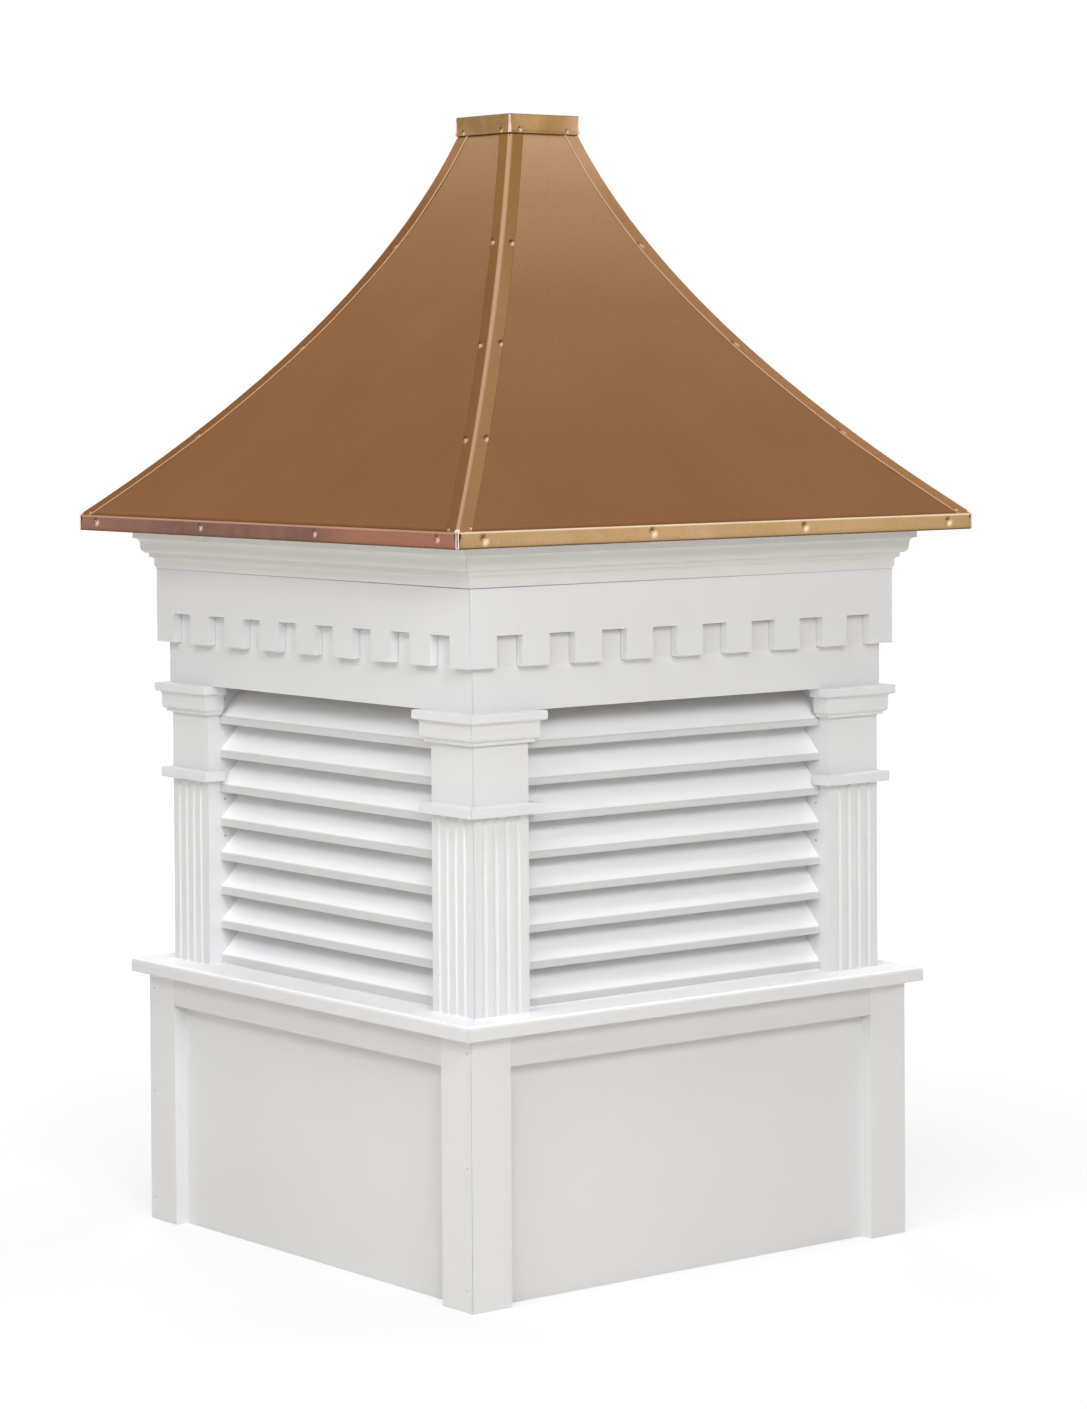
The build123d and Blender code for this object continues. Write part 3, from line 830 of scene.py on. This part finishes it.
def drip_edge(name, turn):
    """One side's copper strip with dented nails."""
    rng = random.Random(f"drip {name}")
    end = EAVE - DRIP_END
    reach = EAVE - DRIP_NAIL_INSET
    nails = [-reach + k * 2 * reach / (DRIP_NAILS - 1) for k in range(DRIP_NAILS)]
    dents = []
    for x in nails:
        dent = {measure: rng.uniform(*limits) * MM for measure, limits in DRIP_DENT.items()}
        dent["x"] += x
        dent["down"] += DRIP_NAIL_DROP
        dents.append(dent)
    profile = [(inward * MM, down * MM) for inward, down in DRIP_PROFILE]
    middle = spaced(-end, end, DRIP_STEP, DRIP_FINE_STEP, nails, 18 * MM)
    stations = [-end + e for e in DRIP_ENDS[:-1]] + [s for s in middle if abs(s) < end - 1.0 * MM]
    stations += [end - e for e in reversed(DRIP_ENDS[:-1])]
    bm = bmesh.new()
    rows, shades = [], []
    for x in stations:
        row, shade = [], []
        to_end = end - abs(x)
        for inward, down in profile:
            on_face = smooth(down, 0.8 * MM, 3 * MM) * (1 - smooth(down, 19.5 * MM, 21.5 * MM))
            sink = inward
            sink += DRIP_WAVES * (1 + ripple((x * 7, down * 30, turn))) * on_face
            sink += on_face * sum(drip_dent_depth(dent, x, down) for dent in dents)
            sink += 0.8 * MM * (1 - smooth(to_end, 0, DRIP_ENDS[-1]))
            sag = LIP_SAG * ripple((x * 4, 0.3, turn + 3)) if down < 2.0 * MM else 0.0
            row.append(turned(turn, x, EAVE - sink, DRIP_TOP - down - abs(sag)))
            shade.append(on_face * drip_dent_shade(dents, x, down))
        rows.append(row)
        shades.append(shade)
    grid_faces(bm, rows, values=shades)
    for dent in dents:
        at = turned(turn, dent["x"], EAVE - DRIP_NAIL_DEPTH, DRIP_TOP - dent["down"])
        nail_places.append((at, turned(turn, 0, 1, 0), BAND_NAIL))
    band = gold_copper if name in ("front", "back") else mauve_copper
    finish_piece(f"copper_drip_{name}", bm, band, sharp=55,
                 replaces=("eave_drip_edges",), thickness=DRIP_SHEET)


# ---- the drip edge's corners ----
BEAD_ROWS, BEAD_SIDES = 24, 12
BEAD_IN = 1.18 * MM  # middle of each bead in from the other strip's face
LINER_PLAN = ((7.0, 0.72), (3.5, 0.72), (1.4, 0.74), (0.9, 0.9), (0.74, 1.4), (0.72, 3.5),
              (0.72, 7.0))  # in from the eave's two faces, in mm


def lump(bm, inset, up, width, height, seed):
    """A soft uneven blob of solder on the corner's middle line."""
    centre = Vector((-EAVE + inset, -EAVE + inset, up))
    for v in bmesh.ops.create_icosphere(bm, subdivisions=4, radius=1.0)["verts"]:
        grow = 1 + 0.2 * ripple(v.co, 1.7, seed)
        v.co = centre + Vector((v.co.x * width, v.co.y * width, v.co.z * height)) * grow


def corner_solder(name, turn):
    """Solder at a corner of the drip edge: a bead down each strip's end and a blob on top."""
    bm = bmesh.new()
    top, height = DRIP_TOP - 0.5 * MM, DRIP_TOP - DRIP_BOTTOM - 0.9 * MM
    for side in (0, 1):
        rows = []
        for k in range(BEAD_ROWS + 1):
            share = k / BEAD_ROWS
            radius = (1.0 + 0.16 * ripple((share * 7, side * 3, turn))) * MM
            along = DRIP_END + 0.35 * MM + 0.25 * MM * ripple((share * 4, side * 5, turn + 9))
            row = []
            for m in range(BEAD_SIDES):
                a = 2 * math.pi * m / BEAD_SIDES
                plan = (along + radius * math.cos(a), BEAD_IN + radius * math.sin(a))
                x, y = plan if side else reversed(plan)
                row.append(Vector((-EAVE + x, -EAVE + y, top - share * height)))
            rows.append(row)
        grid = grid_faces(bm, rows, closed=True)
        bm.faces.new(list(reversed(grid[0])))
        bm.faces.new(grid[-1])
    lump(bm, 4.6 * MM, DRIP_TOP + 0.6 * MM, 3.5 * MM, 3.0 * MM, turn + 2)
    lump(bm, 1.9 * MM, DRIP_BOTTOM + 2.0 * MM, 1.3 * MM, 1.6 * MM, turn + 5)
    finish_piece(f"corner_solder_{name}", bm, solder, sharp=70, turn=turn)


def corner_liner(name, turn):
    """A near-black fold of sheet behind the open corner of the drip edge: painted shade in the gap."""
    bm = bmesh.new()
    rows = [[Vector((-EAVE + x * MM, -EAVE + y * MM, DRIP_TOP - down)) for x, y in LINER_PLAN]
            for down in (1.2 * MM, 8 * MM, 15 * MM, DRIP_TOP - DRIP_BOTTOM - 0.6 * MM)]
    grid_faces(bm, rows)
    finish_piece(f"corner_liner_{name}", bm, shade_fold_copper, sharp=70, turn=turn, thickness=0.2 * MM)


# ---- top cap ----
CAP_SHEET = 0.8 * MM
HEM_DEPTH = 5.5 * MM  # of the lower edge, folded in toward the roof
CAP_CORNER = 1.6 * MM
CAP_NAIL_SIDE = 42 * MM
CAP_NAIL_UP = 4.6 * MM
CAP_WALL = CAP - 0.7 * MM  # face of the walls above their flared foot
CAP_LEVELS = (0.0, 0.4, 1.2, 2.0, 2.8, 3.7, 4.6, 5.5, 6.5, 7.8, 9.2, 11, 14, 17, 20, 22.5, 24.2,
              25.2, 25.9, 26.3)  # heights of the walls' rows of points, in mm
LID_SHARES = (0.97, 0.9, 0.6, 0.3, 0.04)  # rings of the flat top, as shares of its outline
WALL_STEPS, TURN_STEPS = 80, 5  # along a wall and round a corner
FLARE = 1.2 * MM
SHOULDER = 0.9 * MM
WALL_WAVES, LID_WAVES = 0.16 * MM, 0.3 * MM
RIVET_DENT, RIVET_SHADE = 4 * MM, 2.8 * MM  # widths of a rivet's dent and of its painted shade
FOLD_ROWS, FOLD_STEPS = 14, 12


def cap_ring(level, rivets):
    """A ring of points round the cap's walls at one level, and the dents' painted shade at each."""
    flare = FLARE * (1 - smooth(level, 0, 9 * MM)) ** 2
    shoulder = SHOULDER * smooth(level, 25.0 * MM, CAP_HEIGHT) ** 2
    corner = CAP_CORNER + 1.2 * MM * (1 - smooth(level, 0, 8 * MM))
    free = smooth(level, 0, 3 * MM) * (1 - smooth(level, 22 * MM, CAP_HEIGHT))
    face = CAP_WALL + flare - shoulder
    flat = face - corner
    up = cap_low.z + level
    row, shade = [], []
    for turn in SIDES.values():
        dents = [dent for side, *dent in rivets if side == turn]
        for k in range(WALL_STEPS + 1):
            x = flat * (2 * k / WALL_STEPS - 1)
            out = face - WALL_WAVES * (0.5 + 0.5 * ripple((x * 22, level * 40, turn))) * free
            out -= sum(depth * bell(math.hypot(x - rx, level - rz), RIVET_DENT)
                       for rx, rz, depth in dents)
            row.append(turned(turn, x, out, up))
            shade.append(sum(dent_shade(x - rx, rz - level, RIVET_SHADE) for rx, rz, _ in dents))
        for k in range(1, TURN_STEPS):
            a = math.pi / 2 * k / TURN_STEPS
            row.append(turned(turn, flat + corner * math.sin(a), flat + corner * math.cos(a), up))
            shade.append(0.0)
    return row, shade


def top_cap():
    """The folded square cap: a flat top, walls that flare a little and dented rivets."""
    rng = random.Random("cap")
    rivets = []
    for turn, hand in SIDE_ENDS:
        x = hand * CAP_NAIL_SIDE + rng.uniform(-4, 3) * MM
        z = CAP_NAIL_UP + rng.uniform(-0.7, 0.7) * MM
        rivets.append((turn, x, z, rng.uniform(0.5, 0.9) * MM))
    levels = [min(v * MM, CAP_HEIGHT) for v in CAP_LEVELS] + [CAP_HEIGHT]
    rows, shades = zip(*(cap_ring(level, rivets) for level in levels))
    hem = (CAP - HEM_DEPTH) / CAP
    rows = [[Vector((p.x * hem, p.y * hem, p.z + 0.3 * MM)) for p in rows[0]], *rows]
    outline = rows[-1]
    for share in LID_SHARES:
        waves = LID_WAVES if share < 0.95 else 0.0
        rows.append([Vector((p.x * share, p.y * share,
                             cap_high.z - waves * (0.5 + 0.5 * ripple(p * share, 30.0, 5))))
                     for p in outline])
    plain = [0.0] * len(outline)
    shades = [plain, *shades] + [plain] * len(LID_SHARES)
    bm = bmesh.new()
    grid = grid_faces(bm, rows, closed=True, values=shades)
    middle = bm.verts.new((0, 0, cap_high.z - 0.15 * MM))
    for a, b in zip(grid[-1], grid[-1][1:] + grid[-1][:1]):
        bm.faces.new((a, b, middle))
    for turn, x, z, depth in rivets:
        at = turned(turn, x, CAP - 0.9 * MM - depth * 0.8, cap_low.z + z)
        nail_places.append((at, turned(turn, 0, 1, 0), BAND_NAIL))
    finish_piece("copper_cap", bm, cap_copper, sharp=50, replaces=("top_cap",), thickness=CAP_SHEET)


def cap_corner_solder(name, turn):
    """The bright soldered fold down each corner of the cap, wider at its foot."""
    bm = bmesh.new()
    rows = []
    for k in range(FOLD_ROWS + 1):
        share = k / FOLD_ROWS
        up = cap_low.z + 0.1 * MM + share * (CAP_HEIGHT - 1.0 * MM)
        half = (2.1 - 1.4 * share + 0.2 * ripple((share * 4, turn, 0))) * MM
        foot_out = 1.0 * MM * (1 - smooth(share, 0, 0.35)) ** 2
        centre = CAP_WALL - CAP_CORNER + foot_out * 0.4
        radius = CAP_CORNER + 0.45 * MM + foot_out * 0.6
        row = []
        for m in range(FOLD_STEPS + 1):
            s = 2 * m / FOLD_STEPS - 1
            a = math.pi / 4 + s * math.pi / 4 * 1.02
            reach = max(abs(s) - 0.55, 0) / 0.45 * half
            sunk = 0.5 * MM * smooth(abs(s), 0.72, 1.0)
            x = -centre - (radius - sunk) * math.cos(a) + (reach if s > 0 else 0)
            y = -centre - (radius - sunk) * math.sin(a) + (reach if s < 0 else 0)
            row.append(Vector((x, y, up)))
        rows.append(row)
    grid_faces(bm, rows)
    finish_piece(f"cap_fold_{name}", bm, fold_solder, sharp=60, turn=turn, thickness=0.4 * MM)


# ---- nails and joints ----
JAMB_NAILS = (556 * MM, 608 * MM, 750 * MM)  # heights
DENTIL_CORNER = 43.8 * MM  # from a dentil board's end to its first gap
GAP_COUNT = 8
GAP_WIDTH = 42 * MM
GAP_HEIGHT = 41.2 * MM
JOINT = 0.7 * MM
HAIR = 0.05 * MM  # keeps neighbouring joint lines apart
CROWN_JOINT = ((0.6, -0.8), (-0.12, -0.8), (-0.12, 0.25), (0.6, 0.25))  # inward and up, in mm
CROWN_STEPS = 60


def roof_nails():
    """All the copper nail heads, joined; their bright colour holds a painted highlight."""
    bm = bmesh.new()
    for point, outward, radius in nail_places:
        add_dome(bm, point, outward, radius, radius * 0.6)
    finish_piece("copper_nails", bm, nail_highlight_copper, sharp=60)


def trim_nails():
    """Filled nail holes: low round spots of putty in the white boards."""
    rng = random.Random("trim nails")
    bm = bmesh.new()

    def spot(turn, along, up):
        along += rng.uniform(-3, 3) * MM
        up += rng.uniform(-3, 3) * MM
        radius = rng.uniform(1.1, 1.6) * MM
        at = turned(turn, along, BASE_FACE - 0.12 * MM, up)
        add_dome(bm, at, turned(turn, 0, 1, 0), radius, 0.3 * MM, segments=12, rings=3)

    for turn, hand in SIDE_ENDS:
        for up in (31 * MM, 185 * MM, BASE_TOP - 22 * MM):
            spot(turn, hand * (BASE_FACE - 11 * MM), up)
        spot(turn, hand * 290 * MM, BASE_TOP - 20 * MM)
    finish_piece("nail_fillings", bm, nail_putty, sharp=60)


def jamb_nails():
    """Small dark nail holes on the jambs' inner faces, just behind the posts."""
    bm = bmesh.new()
    for turn, hand in SIDE_ENDS:
        for up in JAMB_NAILS:
            at = turned(turn, hand * JAMB_FACE, JAMB_FRONT - 8 * MM, up)
            add_dome(bm, at, turned(turn, -hand, 0, 0), 1.5 * MM, 0.25 * MM, segments=10, rings=3)
    finish_piece("jamb_nails", bm, nail_hole, sharp=60)


def bar(bm, turn, along, outward, up):
    """A straight bar on one side, given its two limits in each direction."""
    (inner, outer), (low, high) = outward, up
    section = [(outer, low), (outer, high), (inner, high), (inner, low)]
    rows = [[turned(turn, x, out, z) for out, z in section] for x in along]
    grid = grid_faces(bm, rows, closed=True)
    bm.faces.new(grid[0])
    bm.faces.new(list(reversed(grid[1])))


def sill_battens():
    """A thin white batten on the sill behind each lowest blade's front edge."""
    bm = bmesh.new()
    half = JAMB_FACE - 0.5 * MM
    for turn in SIDES.values():
        bar(bm, turn, (-half, half), (BLADE_FACE - 7 * MM, BLADE_FACE - 1.6 * MM),
            (sill_high.z, blade_low.z + 0.6 * MM))
    finish_piece("sill_battens", bm, batten_trim)


def dentil_joints():
    """Fine grey strips where the dentil boards sit on the frieze: joints round each gap, with painted
    shade in the wider strip at each gap's top and in the line under each foot.
    """
    bm = bmesh.new()
    outward = (FRIEZE_FACE - 0.3 * MM, FRIEZE_FACE + 0.1 * MM)
    row = 2 * (DENTIL_FACE - DENTIL_CORNER)
    pitch = (row - GAP_WIDTH) / (GAP_COUNT - 1)
    foot, head = dentil_low.z, dentil_low.z + GAP_HEIGHT
    for turn in SIDES.values():
        edge = -FRIEZE_FACE
        for k in range(GAP_COUNT):
            left = -row / 2 + k * pitch
            right = left + GAP_WIDTH
            bar(bm, turn, (left, left + JOINT), outward, (foot, head))
            bar(bm, turn, (right - JOINT, right), outward, (foot, head))
            bar(bm, turn, (left + JOINT + HAIR, right - JOINT - HAIR), outward, (head - 2.2 * MM, head))
            bar(bm, turn, (edge + HAIR, left - HAIR), outward, (foot - JOINT, foot))
            edge = right
        bar(bm, turn, (edge + HAIR, FRIEZE_FACE - HAIR), outward, (foot - JOINT, foot))
    finish_piece("dentil_joints", bm, joint_and_shade_grey)


def crown_joint():
    """The thin dark line where the crown moulding sits on the dentil boards: painted shade in the opened
    joint, darkest at the near corner.
    """
    bm = bmesh.new()
    rows = []
    for inward, up in CROWN_JOINT:
        half = DENTIL_FACE - inward * MM
        row = []
        for turn in SIDES.values():
            for k in range(CROWN_STEPS):
                along = half * (2 * k / CROWN_STEPS - 1)
                sag = 0.12 * MM * ripple((along * 9, turn, 0.5))
                row.append(turned(turn, along, half, dentil_high.z + up * MM + sag))
        rows.append(row)
    rows.append(rows[0])
    grid_faces(bm, rows, closed=True)
    finish_piece("crown_joint", bm, joint_shade_dark, sharp=50)


# ---- stage, camera and light ----
FLOOR_REACH = 40.0
CAMERA_LENS, CAMERA_SHIFT = 101.07, -0.15
CAMERA_PLACE = (-3.4247, -4.4064, 1.2129)
CAMERA_TILT, CAMERA_TURN, CAMERA_ROLL = 90 - 1.789, -38.199, -0.353  # in degrees
LAMP_DISTANCE = 5.0
LAMPS = {  # azimuth from the front toward the right, elevation, power and size of each softbox
    "low": (-38, 12, 39, 1.6),
    "low_left": (-80, 6, 24, 3.0),
    "near": (-58, 34, 35, 1.8),
    "high": (-50, 62, 57, 2.0),
    "front": (-20, 26, 97, 1.6),
    "left": (-82, 34, 52, 1.6),
    "right": (85, 35, 88, 2.5),
    "back": (165, 35, 92, 2.5),
    "sheen": (42, 8, 18, 4.0),  # seen in the metal only
}


def stage_floor():
    """A pale floor that reads white to the camera and keeps the object's soft shadow."""
    bm = bmesh.new()
    bm.faces.new([bm.verts.new((x * FLOOR_REACH, y * FLOOR_REACH, cad_low.z - 0.5 * MM))
                  for x, y in ((-1, -1), (1, -1), (1, 1), (-1, 1))])
    n = material_nodes("pale_floor")
    n.tree.nodes.remove(n.shader)
    radius = n.new("ShaderNodeVectorMath", operation="LENGTH")
    n.link(n.place, radius.inputs[0])
    far = n.ramp(n.remapped(radius.outputs["Value"], 0.6, 4.5), [(0.0, 0.62), (1.0, 1.0)])
    plain = n.fed("ShaderNodeBsdfDiffuse", (0.85, 0.808, 0.738, 1))
    shown = n.fed("ShaderNodeBsdfDiffuse", (0.36, 0.36, 0.36, 1))
    glowing = n.fed("ShaderNodeAddShader", shown, n.fed("ShaderNodeEmission", far))
    n.link(n.fed("ShaderNodeMixShader", seen_directly(n), plain, glowing),
           n.tree.nodes["Material Output"].inputs["Surface"])
    floor = new_object("floor", bm, n.owner)


def seen_directly(n):
    """1 for what the camera sees, also in metal and through glass."""
    path = n.new("ShaderNodeLightPath")
    seen = n.math("MAXIMUM", path.outputs["Is Camera Ray"], path.outputs["Is Glossy Ray"])
    return n.math("MAXIMUM", seen, path.outputs["Is Transmission Ray"])


def backdrop():
    """White to the camera and in metal, and a plain soft dome for everything else."""
    world = bpy.data.worlds.new("studio")
    bpy.context.scene.world = world
    world.use_nodes = True
    world.node_tree.nodes.clear()
    n = Nodes(world, "Generated")
    dome = n.ramp(n.axis("Z"), [(0.0, 0.05), (0.5, 0.04), (1.0, (0.06, 0.06, 0.062))])
    light = n.fed("ShaderNodeBackground", dome)
    white = n.fed("ShaderNodeBackground", (1, 1, 1, 1))
    n.link(n.fed("ShaderNodeMixShader", seen_directly(n), light, white),
           n.new("ShaderNodeOutputWorld").inputs["Surface"])


def soft_lamp(name, azimuth, elevation, power, size, for_metal):
    """A square softbox that faces the object's middle, for the metal or for the rest."""
    middle = Vector((0, 0, (cad_low.z + cad_high.z) / 2))
    e = math.radians(elevation)
    place = middle + LAMP_DISTANCE * turned(azimuth, 0, math.cos(e), math.sin(e))
    data = bpy.data.lights.new(name, "AREA")
    data.shape = "SQUARE"
    data.size = size
    data.energy = power
    lamp = bpy.data.objects.new(name, data)
    lamp.location = place
    lamp.rotation_euler = (middle - place).to_track_quat("-Z", "Y").to_euler()
    lamp.visible_glossy = for_metal
    lamp.visible_diffuse = not for_metal
    bpy.context.scene.collection.objects.link(lamp)


def camera():
    """A long lens from the front left corner, a little above the sill, looking slightly down."""
    data = bpy.data.cameras.new("camera")
    data.sensor_width = 36
    data.lens = CAMERA_LENS
    data.shift_y = CAMERA_SHIFT
    data.clip_start = 0.1
    data.clip_end = 100
    cam = bpy.data.objects.new("camera", data)
    cam.location = CAMERA_PLACE
    cam.rotation_euler = (math.radians(CAMERA_TILT), 0, math.radians(CAMERA_TURN))
    cam.rotation_euler.rotate_axis("Z", math.radians(CAMERA_ROLL))
    bpy.context.scene.collection.objects.link(cam)
    bpy.context.scene.camera = cam


for side in SIDES.items():
    roof_panel(*side)
for corner in CORNERS.items():
    hip_cap(*corner)
    corner_solder(*corner)
    corner_liner(*corner)
    cap_corner_solder(*corner)
for side in SIDES.items():
    drip_edge(*side)
top_cap()
roof_nails()
trim_nails()
jamb_nails()
sill_battens()
crown_joint()
dentil_joints()

stage_floor()
backdrop()
for lamp_name, lamp_values in LAMPS.items():
    soft_lamp(lamp_name, *lamp_values, for_metal=lamp_name == "sheen")
camera()

bpy.context.scene.view_settings.view_transform = "Standard"
bpy.context.view_layer.update()
